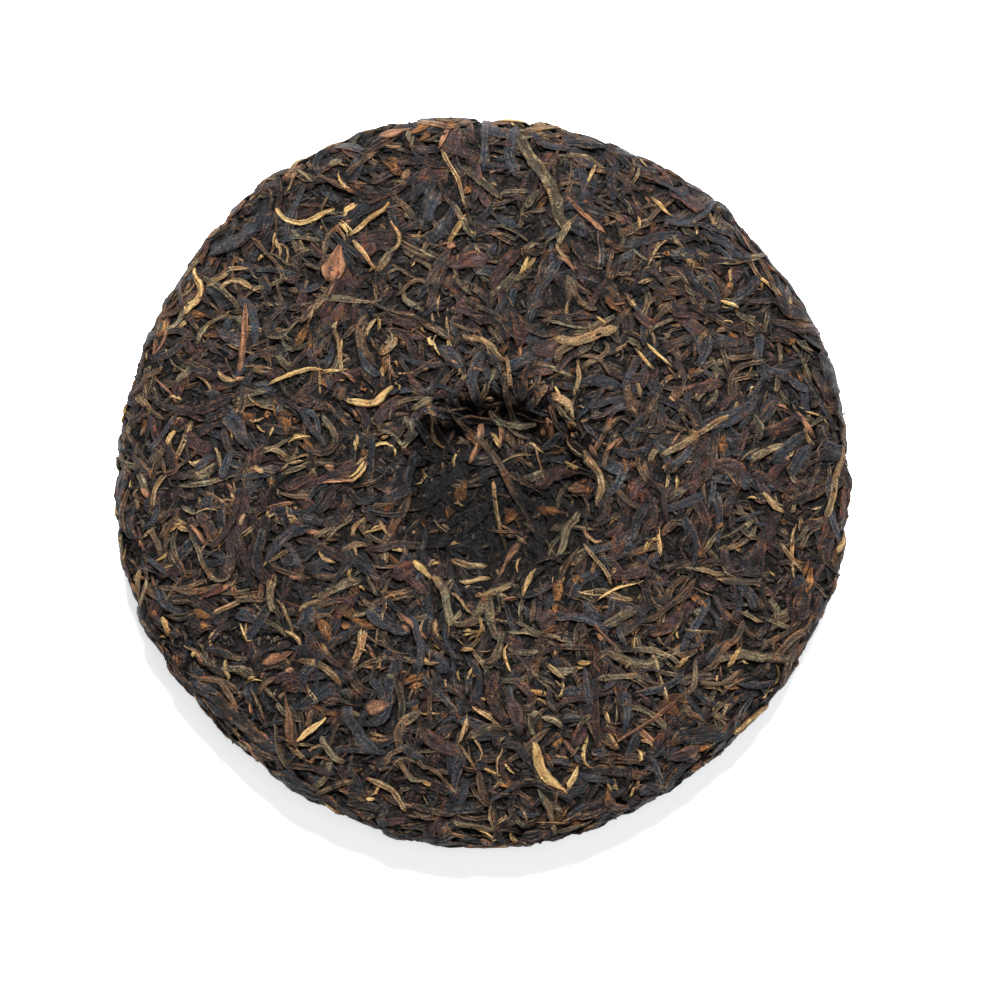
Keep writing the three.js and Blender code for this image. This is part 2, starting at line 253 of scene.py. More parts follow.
def inset_section():
    """The section drawn in by INSET, as arc length, radius, height, and the way out as (radial, upward)."""
    share = np.linspace(0, 1, STRETCH_STEPS, endpoint=False)
    line = np.vstack([bezier(p, share) for p in SECTION] + [[SECTION[-1][-1]]])
    along = np.gradient(line, axis=0)
    along /= np.linalg.norm(along, axis=1)[:, None]
    out = np.stack([-along[:, 1], along[:, 0]], 1)
    inner = line - out * INSET
    inner[:, 0] = np.maximum(inner[:, 0], 0)
    run = np.concatenate([[0], np.cumsum(np.linalg.norm(np.diff(inner, axis=0), axis=1))])
    return run, inner[:, 0], inner[:, 1], out


RUN, RADII, HEIGHTS, OUT = inset_section()
WHOLE_RUN = RUN[-1]
HALF_RUN = RUN[np.argmax(RADII)]


def face_reach(face):
    """The arc length from a face's middle to the edge of the cake."""
    return WHOLE_RUN - HALF_RUN if face else HALF_RUN


def hollow(x, y):
    """How deep the hollow is at a point, and its slopes along x and y."""
    dx, dy = x - HOLLOW_CENTRE[0], y - HOLLOW_CENTRE[1]
    away = np.hypot(dx, dy) + 1e-9
    span = HOLLOW_RIM_RADIUS - HOLLOW_FLOOR_RADIUS
    t = np.clip((away - HOLLOW_FLOOR_RADIUS) / span, 0, 1)
    slope = -HOLLOW_DEPTH * 6 * t * (1 - t) / span
    return HOLLOW_DEPTH * (1 - t * t * (3 - 2 * t)), slope * dx / away, slope * dy / away


def on_cake(run, angle, height):
    """Places a height over the core, at an arc length from the middle of the top and an angle."""
    radius = np.interp(run, RUN, RADII)
    z = np.interp(run, RUN, HEIGHTS)
    out_r = np.interp(run, RUN, OUT[:, 0])
    out_z = np.interp(run, RUN, OUT[:, 1])
    waves = sum(size * np.cos(lobes * angle + turn) for lobes, size, turn in OUTLINE_WAVES)
    wide = 1 + waves / OUTLINE_RADIUS
    x = radius * wide * np.cos(angle) + CAKE_CENTRE[0]
    y = radius * wide * np.sin(angle) + CAKE_CENTRE[1]
    depth, slope_x, slope_y = hollow(x, y)
    above = out_z > 0
    out = np.stack([out_r * np.cos(angle), out_r * np.sin(angle), out_z], -1)
    out[..., 0] += np.where(above, slope_x, 0)
    out[..., 1] += np.where(above, slope_y, 0)
    out /= np.linalg.norm(out, axis=-1)[..., None]
    place = np.stack([x, y, z - np.where(above, depth, 0)], -1)
    lump = sum(size * np.sin(place @ np.array(way) + turn) for way, size, turn in FACE_WAVES)
    place = place + out * (height + lump)[..., None]
    place[..., 2] = np.maximum(place[..., 2], 0)
    return place


class Cake:
    """The cake while its leaves are laid: how high they stand over the core, on a flat map of each face."""

    def __init__(self):
        self.half = int(math.ceil((max(face_reach(0), face_reach(1)) + MAP_MARGIN) / CELL))
        self.tops = np.zeros((2, 2 * self.half + 1, 2 * self.half + 1))
        self.wide = None

    def cells(self, run, angle):
        under = run > HALF_RUN
        reach = np.where(under, WHOLE_RUN - run, run) / CELL
        column = np.rint(reach * np.cos(angle)).astype(int) + self.half
        row = np.rint(reach * np.sin(angle)).astype(int) + self.half
        return under.astype(int), row, column

    def height(self, run, angle):
        return self.tops[self.cells(run, angle)]

    def around(self, run, angle):
        """The highest that the leaves stand close to a point."""
        if self.wide is None:
            self.wide = self.tops.copy()
            for axis in (1, 2):
                turns = [np.roll(self.wide, step, axis) for step in (-AROUND, 0, AROUND)]
                self.wide = np.max(turns, axis=0)
        return self.wide[self.cells(run, angle)]

    def raise_to(self, run, angle, height):
        cells = self.cells(run, angle)
        np.maximum.at(self.tops, cells, height)


def smooth_draws(rng, count, knots):
    """A smooth run of draws between -1 and 1."""
    return np.interp(np.linspace(0, 1, count), np.linspace(0, 1, knots), rng.uniform(-1, 1, knots))


class Leaf:
    """One leaf: its middle on the flattened face, its sizes, and how its back is folded."""

    def __init__(self, rng, kind, x, y, heading, face=0, length=None, width=None, bend=None, sway=0.0):
        sizes = KINDS[kind]
        self.kind, self.face, self.sizes, self.chosen = kind, face, sizes, length is not None
        least, most = sizes["length"]
        self.length = length or least + rng.beta(1.5, 2.4) * (most - least)
        least, most = sizes["width"]
        self.width = width or least + rng.beta(1.3, 2.2) * (most - least)
        if not self.chosen and rng.uniform() < SMALL_BITS:
            self.length = max(SHORTEST, self.length * rng.uniform(0.3, 0.6))
            self.width *= rng.uniform(0.55, 0.95)
        self.x, self.y, self.heading = x, y, math.radians(heading)
        self.bend = math.radians(rng.normal() * sizes["bend"] if bend is None else bend)
        self.sway = math.radians(sway if sway else rng.normal() * 9)
        kinks = max(3, int(self.length / KINK_SPACING))
        kinks = smooth_draws(rng, SPINE_POINTS, kinks)
        self.kinks = kinks * math.radians(14 if self.chosen else rng.choice([9, 18, 32]))
        broken = kind != "golden_buds" and rng.uniform() < BROKEN
        self.tip = rng.uniform(5, 18) if broken else 1.3 + 3 * rng.uniform()
        self.base = rng.uniform(3, 16)
        self.least_wide = rng.uniform(0.1, 0.65)
        self.phase, self.twist = rng.uniform(0, 2), rng.normal() * 0.8
        broad = self.width / np.mean(sizes["width"])
        self.folds = sizes["folds"] * broad**0.6 * rng.uniform(0.8, 1.25)
        self.fold = sizes["fold"] * rng.uniform(0.6, 1.5)
        self.thick = sizes["thick"] * rng.uniform(0.65, 1.3) * min(1.2, broad**0.4)
        self.tilt = rng.normal() * 0.16
        self.level = rng.uniform(-0.45, 0.4)
        self.rolled = rng.uniform(-0.3, 1.0)
        self.round = sizes["round"]
        rags = max(5, int(self.length / RAG_SPACING))
        self.ragged = [smooth_draws(rng, SIDE_POINTS, rags) * RAG_DEPTH for side in range(2)]
        self.crumple = rng.normal(size=(LUMP_ROWS + 1, LUMP_COLUMNS + 1)) * 0.045 * self.width**0.8
        self.tone, self.mark = rng.uniform(), rng.uniform()
        if kind == "red_stems":
            self.kinks *= 0.2
            self.sway *= 0.2
            self.rolled = 0
        self.flake = kind == "amber_flakes" or kind == "red_stems" and self.width > FLAKE_WIDTH
        if self.flake:
            self.fold *= 0.25
            self.thick *= 0.6
            self.round = FLAT
            self.crumple *= 0.5

    def beside(self, rng):
        """Another leaf of the kind that lies close beside this one and nearly along it."""
        side = (1 if rng.uniform() < 0.5 else -1) * self.width * rng.uniform(0.6, 1.1)
        slip = rng.normal() * self.length * 0.2
        x = self.x - math.sin(self.heading) * side + math.cos(self.heading) * slip
        y = self.y + math.cos(self.heading) * side + math.sin(self.heading) * slip
        made = Leaf(rng, self.kind, x, y, math.degrees(self.heading) + rng.normal() * 7, self.face)
        made.bend = self.bend + rng.normal() * 0.15
        return made

    def spread(self, share, across):
        """The run and angle on the cake of points at shares along the leaf and -1 to 1 across it."""
        fine = np.linspace(0, 1, SPINE_POINTS)
        lean = HOOKED if abs(self.bend) > SHARP_BEND else 1
        turn = self.heading + self.bend * (fine**lean - 0.5)
        turn = turn + self.sway * np.sin(2 * math.pi * fine) + self.kinks
        step = self.length / (SPINE_POINTS - 1)
        xs = np.concatenate([[0], np.cumsum(np.cos((turn[1:] + turn[:-1]) / 2))]) * step
        ys = np.concatenate([[0], np.cumsum(np.sin((turn[1:] + turn[:-1]) / 2))]) * step
        xs += self.x - xs.mean()
        ys += self.y - ys.mean()
        knots = np.linspace(0, 1, SIDE_POINTS)
        first, second = (np.interp(share, knots, side)[:, None] for side in self.ragged)
        side = across * self.half_width(share)[:, None] * (1 + np.where(across > 0, first, second))
        way = np.interp(share, fine, turn)[:, None]
        x = np.interp(share, fine, xs)[:, None] - np.sin(way) * side
        y = np.interp(share, fine, ys)[:, None] + np.cos(way) * side
        reach = np.hypot(x, y)
        return (WHOLE_RUN - reach if self.face else reach), np.arctan2(y, x)

    def half_width(self, share):
        """Half the leaf's width at shares along it: blunt where it grew, pointed at its tip."""
        if self.flake:
            return self.width / 2 * np.interp(share, (0, 0.12, 0.4, 0.72, 1), (0.3, 0.75, 1, 0.42, 0.08))
        blunt = 1 - np.clip(1 - 2 * share, 0, 1) ** self.base
        point = 1 - np.clip(2 * share - 1, 0, 1) ** self.tip
        return self.width / 2 * np.maximum(self.least_wide, blunt * point)

    def ridges(self, share, across):
        """The folds of the leaf's back, -1 in a crease to 1 on a ridge: rolled rims and lengthwise waves."""
        waves = np.cos(math.pi * (self.folds * across + self.twist * (share[:, None] - 0.5) * 2 + self.phase))
        rims = 2 * np.exp(-(((np.abs(across) - 0.7) / 0.24) ** 2)) - 1
        rolled = min(1, max(0, self.rolled))
        return waves * (1 - 0.6 * rolled) + rims * 0.6 * rolled

    def back(self, share, across):
        """The height of the leaf's back over what it lies on."""
        full = (self.half_width(share) / (self.width / 2)).clip(0, 1)[:, None]
        dome = (1 - np.abs(across) ** self.round).clip(0, 1) ** 0.5
        folds = self.ridges(share, across)
        rows = np.clip(share * LUMP_ROWS, 0, LUMP_ROWS - 0.001)
        i, part = rows.astype(int), (rows % 1)[:, None]
        lumps = self.crumple[i] * (1 - part) + self.crumple[i + 1] * part
        columns = np.interp(across, np.linspace(-1, 1, LUMP_COLUMNS + 1), np.arange(LUMP_COLUMNS + 1))
        j = np.minimum(columns.astype(int), LUMP_COLUMNS - 1)
        lumps = lumps[:, j] * (1 - (columns - j)) + lumps[:, j + 1] * (columns - j)
        rise = self.thick * dome * (0.35 + 0.65 * full) + self.fold * folds * dome * full
        return rise + lumps * full + self.tilt * across


def drape(below, rows):
    """How far a leaf's back sinks or rises towards what is under it."""
    return np.clip(below - rows[:, None], *DRAPE_LIMITS) * DRAPE_SHARE


def settle(cake, leaf, share, across, ceiling):
    """How high a leaf lies over the core: over what is under it, as far as it is bendy, and pressed level."""
    run, angle = leaf.spread(share, across)
    below = cake.height(run, angle)
    rows = 0.5 * below.mean(1) + 0.5 * below.max(1)
    spacing = leaf.length * (share[1] - share[0])
    reach = max(1, int(round(2 * STIFFNESS / spacing)))
    weights = np.exp(-0.5 * (np.arange(-reach, reach + 1) * spacing / STIFFNESS) ** 2)
    padded = np.pad(rows, reach, mode="edge")
    rows = np.convolve(padded, weights / weights.sum(), mode="valid")
    room = ceiling - leaf.thick
    rows = np.minimum(rows, room + 0.25 * np.tanh((rows - room) / 0.8).clip(0))
    rows = rows - 0.35 * (np.abs(2 * share - 1) ** 6)
    return run, angle, rows, drape(below, rows)


def lay(cake, leaf, order):
    """Lays one leaf, and keeps what its mesh needs."""
    ceiling = PRESSED_LEVEL * (0.5 + 0.5 * order) + leaf.level
    rows = max(9, int(leaf.length / 0.4))
    share = np.linspace(0, 1, rows)
    across = np.linspace(-1, 1, max(5, int(leaf.width / 0.4)))
    run, angle, under, sunk = settle(cake, leaf, share, across, ceiling)
    top = under[:, None] + sunk + leaf.back(share, across)

    rings = max(4, int(round(leaf.length / RING_SPACING)))
    ring_share = (1 - np.cos(np.linspace(0.09, 0.91, rings) * math.pi)) / 2
    ring_share = 0.5 * ring_share + 0.5 * np.linspace(0.03, 0.97, rings)
    ring_across = np.sin(np.linspace(-1, 1, leaf.sizes["across"]) * math.pi / 2 * 0.96)
    ring_across = ring_across / math.sin(math.pi / 2 * 0.96)
    run_m, angle_m = leaf.spread(ring_share, ring_across)
    under_m = np.interp(ring_share, share, under)
    below_m = cake.height(run_m, angle_m)
    back_m = under_m[:, None] + drape(below_m, under_m) + leaf.back(ring_share, ring_across)
    cake.raise_to(run, angle, top)
    return dict(
        leaf=leaf, run=run, angle=angle, top=top, ring_share=ring_share, ring_across=ring_across,
        ring_run=run_m, ring_angle=angle_m, ring_top=back_m, ring_under=under_m,
    )


def seen_share(cake, laid):
    """The share of a laid leaf that nothing laid later covers."""
    return (laid["top"] > cake.height(laid["run"], laid["angle"]) - HIDDEN_BELOW).mean()


def deep(cake, run, angle, top, under_count):
    """Painted shade for points on a leaf's back: how far below what is around, 0 to 1 over DEEP, 1
    underneath.
    """
    low = np.clip((cake.around(run, angle) - top) / DEEP, 0, 1)
    return np.hstack([low, np.ones((len(top), under_count))]).ravel()


def leaf_mesh(cake, laid):
    """A laid leaf as closed rings with a point at each end: places, faces, and what its finish reads."""
    leaf, share, across = laid["leaf"], laid["ring_share"], laid["ring_across"]
    top, under = laid["ring_top"], laid["ring_under"]
    belly_across = np.array([0.0])
    belly_run, belly_angle = leaf.spread(share, belly_across)
    belly = np.minimum(under, top.min(1))[:, None] - 0.2
    run = np.hstack([laid["ring_run"], belly_run])
    angle = np.hstack([laid["ring_angle"], belly_angle])
    height = np.hstack([top, belly])
    section = np.concatenate([across, belly_across])
    ends_share = np.array([0.0, 1.0])
    end_run, end_angle = leaf.spread(ends_share, np.array([0.0]))
    end_height = np.array([[top[0].mean() - 0.15], [top[-1].mean() - 0.15]])
    size = len(section)
    places = np.vstack([
        on_cake(end_run, end_angle, end_height).reshape(-1, 3)[:1],
        on_cake(run, angle, height).reshape(-1, 3),
        on_cake(end_run, end_angle, end_height).reshape(-1, 3)[1:],
    ])
    rings = len(share)
    along = np.concatenate([[0.0], np.repeat(share, size), [1.0]])
    sideways = np.concatenate([[0.0], np.tile(section, rings), [0.0]])
    grain = np.stack([along * leaf.length, sideways * leaf.width / 2, np.full(len(along), leaf.mark)], 1)
    # Painted shade: darker below the leaves around, under the leaf, and in the hollow.
    depth = deep(cake, laid["ring_run"], laid["ring_angle"], top, len(belly_across))
    depth = np.concatenate([[0.5], depth, [0.5]])
    # More painted shade in the hollow, and less of it on pale leaves.
    if leaf.face == 0:
        shade = PALE_SHADE if leaf.kind in PALE_KINDS else 1.0
        depth = np.minimum(1, depth + shade * hollow_shade(places[:, 0], places[:, 1]))
    look = np.stack([sideways, depth, np.full(len(along), leaf.tone)], 1)
    ridge = np.hstack([leaf.ridges(share, across), np.zeros((rings, len(belly_across)))]).ravel()
    ridge = np.concatenate([[0.0], ridge, [0.0]])
    first = 1 + size * np.arange(rings - 1)[:, None]
    i = np.arange(size)[None]
    j = (i + 1) % size
    quads = np.stack([first + i, first + size + i, first + size + j, first + j], -1).reshape(-1, 4)
    last = 1 + size * (rings - 1)
    i, j = i[0], j[0]
    fans = np.vstack([
        np.stack([np.zeros(size, int), 1 + i, 1 + j], 1),
        np.stack([np.full(size, last + size), last + j, last + i], 1),
    ])
    return places, quads, fans, grain, look, ridge


def face_seats(rng, count, reach):
    """Seats spread evenly over a face by the golden angle, each strayed a little."""
    index = rng.permutation(count)
    radius = reach * np.sqrt((index + 0.5) / count)
    angle = index * math.pi * (3 - math.sqrt(5))
    return np.stack([radius * np.cos(angle), radius * np.sin(angle)], 1) + rng.normal(size=(count, 2)) * 1.2


def in_hollow(x, y):
    """How far down the hollow a place on the upper face lies, 0 to 1."""
    return hollow(np.asarray(x, float), np.asarray(y, float))[0] / HOLLOW_DEPTH


def hollow_shade(x, y):
    """Painted shade on leaves in the hollow: least on the wall that turns away from the window."""
    dx, dy = x - HOLLOW_CENTRE[0], y - HOLLOW_CENTRE[1]
    away = np.clip((dy * 0.9 + dx * 0.44) / (np.hypot(dx, dy) + 4), 0, 1)
    return HOLLOW_SHADE * in_hollow(x, y) ** 0.5 * (1 - away)


def flow(x, y):
    """The way in degrees that most leaves near a place lie, which wanders over the cake."""
    return 150 * math.sin(x / 23 + 1.3 * math.sin(y / 31)) + 140 * math.sin(y / 19 + 0.7 + math.sin(x / 37))


def drawn_kind(rng):
    """A kind of leaf, drawn by the kinds' shares."""
    shares = np.array([sizes["share"] for sizes in KINDS.values()])
    return list(KINDS)[rng.choice(len(KINDS), p=shares / shares.sum())]


def chance_leaves(rng, count, face):
    """Leaves of every kind over one face, turned any way in the middle and along the rim near it."""
    leaves = []
    for x, y in face_seats(rng, count, face_reach(face)):
        kind = drawn_kind(rng)
        outer = np.clip((math.hypot(x, y) - RIM_WAY_FROM) / RIM_WAY_SPAN, 0, 1)
        rim_way = math.degrees(math.atan2(y, x)) + 90
        way = flow(x, y) + rng.normal() * 30 if rng.uniform() < FLOWING else rng.uniform(0, 360)
        heading = rim_way + rng.normal() * 16 if rng.uniform() < outer else way
        leaf = Leaf(rng, kind, x, y, heading, face)
        leaves.append([leaf, leaf.beside(rng)] if rng.uniform() < BUNDLED else [leaf])
    return leaves


def edge_leaves(rng, count):
    """Leaves along the rim, for both faces."""
    leaves = []
    for i in range(count):
        face = i % 2
        angle = 2 * math.pi * rng.uniform()
        reach = face_reach(face) - rng.uniform(-1, 9)
        kind = drawn_kind(rng)
        x, y = reach * math.cos(angle), reach * math.sin(angle)
        leaves.append([Leaf(rng, kind, x, y, math.degrees(angle) + 90 + rng.normal() * 16, face)])
    return leaves


def notable_leaves(rng):
    """The leaves that catch the eye, with the distance from the middle measured along the core."""
    leaves = []
    upper = np.argmax(RADII) + 1
    for kind, x, y, heading, length, width, bend, sway in NOTABLE_LEAVES:
        radius = math.hypot(x, y)
        run = np.interp(min(radius, RADII.max()), RADII[:upper], RUN[:upper])
        grown = run / max(radius, 1e-6)
        leaves.append(Leaf(rng, kind, x * grown, y * grown, heading, 0, length, width, bend, sway))
    return leaves


def lay_cake(rng):
    """Lays every leaf, from the lowest to the highest, and keeps those that show."""
    cake = Cake()
    crowd = chance_leaves(rng, TOP_LEAVES, 0) + chance_leaves(rng, UNDERSIDE_LEAVES, 1)
    crowd = crowd + edge_leaves(rng, EDGE_LEAVES)
    crowd = [leaf for i in rng.permutation(len(crowd)) for leaf in crowd[i]]
    laid = [lay(cake, leaf, i / len(crowd)) for i, leaf in enumerate(crowd)]
    laid += [lay(cake, leaf, NOTABLE_ORDER) for leaf in notable_leaves(rng)]
    return cake, [one for one in laid if seen_share(cake, one) > LEAST_SEEN]


def new_object(name, places, faces, attributes=None):
    """A mesh object from places in millimetres and lists of faces, each list of one face size."""
    mesh = bpy.data.meshes.new(name)
    mesh.vertices.add(len(places))
    mesh.vertices.foreach_set("co", (places * MM).astype(np.float32).ravel())
    sizes = np.concatenate([np.full(len(f), f.shape[1]) for f in faces])
    starts = np.concatenate([[0], np.cumsum(sizes)[:-1]])
    mesh.loops.add(int(sizes.sum()))
    mesh.loops.foreach_set("vertex_index", np.concatenate([f.ravel() for f in faces]).astype(np.int32))
    mesh.polygons.add(len(sizes))
    mesh.polygons.foreach_set("loop_start", starts.astype(np.int32))
    mesh.update(calc_edges=True)
    mesh.validate()
    mesh.shade_smooth()
    for key, values in (attributes or {}).items():
        flat = values.ndim == 1
        layer = mesh.attributes.new(key, "FLOAT" if flat else "FLOAT_VECTOR", "POINT")
        layer.data.foreach_set("value" if flat else "vector", values.astype(np.float32).ravel())
    made = bpy.data.objects.new(name, mesh)
    bpy.context.scene.collection.objects.link(made)
    return made


def leaves_object(name, cake, laid):
    """All laid leaves of one kind, joined."""
    places, quads, fans, grains, looks, ridges = [], [], [], [], [], []
    count = 0
    for one in laid:
        spots, four, three, grain, look, ridge = leaf_mesh(cake, one)
        places.append(spots)
        quads.append(four + count)
        fans.append(three + count)
        grains.append(grain)
        looks.append(look)
        ridges.append(ridge)
        count += len(spots)
    attributes = {"grain": np.vstack(grains), "look": np.vstack(looks), "ridge": np.concatenate(ridges)}
    return new_object(name, np.vstack(places), [np.vstack(quads), np.vstack(fans)], attributes)


def core_grid(cake, lift, rows, turns):
    """A closed skin over the cake: the core itself, or with lift the tops of the leaves laid on it."""
    run = np.linspace(0, WHOLE_RUN, rows + 1)[1:-1]
    angle = np.linspace(0, 2 * math.pi, turns, endpoint=False)
    runs, angles = np.meshgrid(run, angle, indexing="ij")
    height = cake.height(runs, angles) * lift
    middle = on_cake(runs, angles, height).reshape(-1, 3)
    poles = on_cake(np.array([0.0, WHOLE_RUN]), np.zeros(2), np.zeros(2))
    places = np.vstack([poles[:1], middle, poles[1:]])
    inner = len(run)
    i = np.arange(inner - 1)[:, None] * turns + 1
    j = np.arange(turns)[None]
    k = (j + 1) % turns
    quads = np.stack([i + j, i + turns + j, i + turns + k, i + k], -1).reshape(-1, 4)
    j, k = j[0], k[0]
    last = 1 + (inner - 1) * turns
    fans = np.vstack([
        np.stack([np.zeros(turns, int), 1 + j, 1 + k], 1),
        np.stack([np.full(turns, last + turns), last + k, last + j], 1),
    ])
    return places, [quads, fans]


class Value:
    """A number or colour socket of a node tree. Python's operators on it add the tree's Math nodes."""

    def __init__(self, tree, socket):
        self.tree, self.socket = tree, socket

    def maths(self, operation, first, second):
        return self.tree.node("ShaderNodeMath", dict(operation=operation), first, second)

    def __add__(self, other):
        return self.maths("ADD", self, other)

    def __sub__(self, other):
        return self.maths("SUBTRACT", self, other)

    def __rsub__(self, other):
        return self.maths("SUBTRACT", other, self)

    def __mul__(self, other):
        return self.maths("MULTIPLY", self, other)

    __radd__ = __add__
    __rmul__ = __mul__

    def kept(self):
        """The value held between 0 and 1."""
        made = self.maths("ADD", self, 0)
        made.socket.node.use_clamp = True
        return made


class Tree:
    """A node tree that is written as Python."""

    def __init__(self, tree):
        self.tree = tree

    def node(self, kind, settings, *values, out=0, **named):
        """Adds a node with its settings, puts numbers or links in its inputs, and gives back one output."""
        made = self.tree.nodes.new(kind)
        for key, setting in (settings or {}).items():
            if key == "stops":
                ramp = made.color_ramp
                while len(ramp.elements) < len(setting):
                    ramp.elements.new(0.5)
                for element, (at, colour) in zip(ramp.elements, setting):
                    element.position = at
                    element.color = (*colour, 1)
            else:
                setattr(made, key, setting)
        inputs = [s for s in made.inputs if s.enabled]
        for socket, value in list(zip(inputs, values)) + [(self.named(made, k), v) for k, v in named.items()]:
            self.put(socket, value)
        outputs = [s for s in made.outputs if s.enabled]
        return Value(self, outputs[out]) if outputs else made

    def named(self, made, key):
        wanted = key.replace("_", " ").lower()
        return next(s for s in made.inputs if s.enabled and s.name.lower() == wanted)

    def put(self, socket, value):
        if isinstance(value, Value):
            self.tree.links.new(value.socket, socket)
        elif value is not None:
            socket.default_value = value

    def ramp(self, value, *stops):
        return self.node("ShaderNodeValToRGB", dict(stops=stops), value)

    def blend(self, share, first, second, how="MIX"):
        """A colour mixed from two, with the share of the second."""
        made = self.tree.nodes.new("ShaderNodeMix")
        made.data_type = "RGBA"
        made.blend_type = how
        made.clamp_factor = True
        for socket, value in zip((made.inputs[0], made.inputs[6], made.inputs[7]), (share, first, second)):
            self.put(socket, (*value, 1) if isinstance(value, tuple) else value)
        return Value(self, made.outputs[2])

    def noise(self, vector, scale, detail=3.0, rough=0.55, warp=0.0):
        return self.node(
            "ShaderNodeTexNoise", None, vector, Scale=scale, Detail=detail, Roughness=rough, Distortion=warp
        )

    def vector(self, x, y, z):
        return self.node("ShaderNodeCombineXYZ", None, x, y, z)


def linear(red, green, blue):
    """A colour as it shows on a screen, 0 to 255, as light."""
    shares = [c / 255 for c in (red, green, blue)]
    return tuple(c / 12.92 if c <= 0.04045 else ((c + 0.055) / 1.055) ** 2.4 for c in shares)


def finish(name, build):
    """A new material whose shader a function builds."""
    material = bpy.data.materials.new(name)
    material.use_nodes = True
    nodes = material.node_tree
    nodes.nodes.clear()
    tree = Tree(nodes)
    shader = nodes.nodes.new("ShaderNodeBsdfPrincipled")
    build(tree, shader.inputs)
    output = nodes.nodes.new("ShaderNodeOutputMaterial")
    nodes.links.new(shader.outputs[0], output.inputs[0])
    return material


def leaf_finish(
    name, dark, light, vein, patch, edge, streaky, ridged, crumpled, stained, patchy, edging, rough, gloss
):
    """A dry leaf: a colour between two, streaks, patches, frayed edges, painted highlights and shade."""

    def build(tree, shader):
        grain = tree.node("ShaderNodeAttribute", dict(attribute_name="grain"), out=1)
        look = tree.node("ShaderNodeAttribute", dict(attribute_name="look"), out=1)
        apart = tree.node("ShaderNodeSeparateXYZ", None, grain).socket.node
        along, sideways, mark = (Value(tree, s) for s in apart.outputs)
        apart = tree.node("ShaderNodeSeparateXYZ", None, look).socket.node
        across, depth, tone = (Value(tree, s) for s in apart.outputs)
        place = tree.node("ShaderNodeTexCoord", None, out=3)
        ridge = tree.node("ShaderNodeAttribute", dict(attribute_name="ridge"), out=2)
        streaks = tree.noise(tree.vector(along * 0.17, sideways * 1.5, mark * 60), 1.0, 4.0, 0.68, 0.35)
        lines = tree.noise(tree.vector(along * 0.42, sideways * 3.9, mark * 60), 1.0, 3.0, 0.68, 0.5)
        patches = tree.noise(tree.vector(along * 0.4, sideways * 0.7, mark * 90), 1.0, 3.0, 0.65)
        specks = tree.noise(place, 1900.0, 3.0, 0.75)
        wear = tree.noise(place, 260.0, 3.0, 0.6)
        crumple = tree.noise(place, 520.0, 4.0, 0.66, 0.8)
        wrinkle = tree.node("ShaderNodeMath", dict(operation="ABSOLUTE"), crumple - 0.5)
        # The ridges of the folds are lighter: painted highlight.
        body = tone * 0.7 + ridge * 0.3 * ridged + (streaks - 0.5) * 2.6 * ridged
        body = body + (specks - 0.5) * 2.6 + 0.15 + (crumple - 0.5) * 2.2 * crumpled
        colour = tree.blend(body.kept(), dark, light)
        colour = tree.blend(((patches - 0.54) * 8.0 * patchy).kept(), colour, patch)
        # Vein colour from wear patches and lengthwise lines, and on the ridges of the folds as painted
        # highlight.
        wear_and_ridge_highlight = ridge * 0.5 * ridged + (lines - 0.5) * 3.2 * ridged
        wear_and_ridge_highlight = wear_and_ridge_highlight + (wear - 0.5) * 2.8 + (specks - 0.5) * 1.6 - 0.14
        colour = tree.blend((wear_and_ridge_highlight * streaky).kept(), colour, vein)
        rim = across * across
        frayed = (rim * rim - 0.25) * 1.7 * edging * ((wear - 0.44) * 7.0).kept()
        colour = tree.blend(frayed.kept(), colour, edge)
        # Painted shade in the creases of the folds and of the crumpling.
        crease = (ridge * -0.5 * ridged - 0.06 + (specks - 0.5) * 1.4).kept()
        crease = crease + (0.4 - wrinkle * 8.0).kept() * crumpled
        # Painted shade: darker below the leaves around, under the leaf, towards its edges and in the hollow.
        gap = (depth * depth * 0.5 + depth * 0.5 + rim * rim * rim * 0.42).kept()
        stain = tree.noise(place, 210.0, 4.0, 0.72)
        colour = tree.blend(((stain - 0.52) * 8.0).kept() * stained, colour, WARM, "MULTIPLY")
        colour = tree.blend(((0.48 - stain) * 8.0).kept() * stained, colour, COOL, "MULTIPLY")
        colour = tree.blend((crease * 0.85).kept(), colour, PAINTED_SHADE)
        colour = tree.blend(gap, colour, PAINTED_SHADE)
        colour = tree.node("ShaderNodeGamma", None, colour, Gamma=CONTRAST)
        colour = tree.blend(1.0, colour, (CONTRAST_GAIN,) * 3, "MULTIPLY")
        tree.put(shader["Base Color"], colour)
        tree.put(shader["Roughness"], ((specks - 0.5) * 0.8 + rough).kept())
        shader["Specular IOR Level"].default_value = gloss
        fine = tree.noise(tree.vector(along * 0.9, sideways * 8.0, mark * 60), 1.0, 2.0, 0.6)
        relief = lines * 0.7 * ridged + fine * 0.25 + specks * 0.45
        relief = relief + (crumple * 1.5 + wrinkle * 2.2) * crumpled
        bump = tree.node("ShaderNodeBump", None, Strength=1.0, Distance=0.001, Height=relief)
        tree.put(shader["Normal"], bump)

    return finish(name, build)


# The colour of the painted shade between and under leaves and in their creases, what the leaf colours are
# raised to and multiplied by, and their warm and cool stains.
PAINTED_SHADE = linear(8, 6, 5)
CONTRAST = 1.16
CONTRAST_GAIN = 1.6
WARM = (1.2, 0.88, 0.68)
COOL = (0.74, 0.94, 1.06)
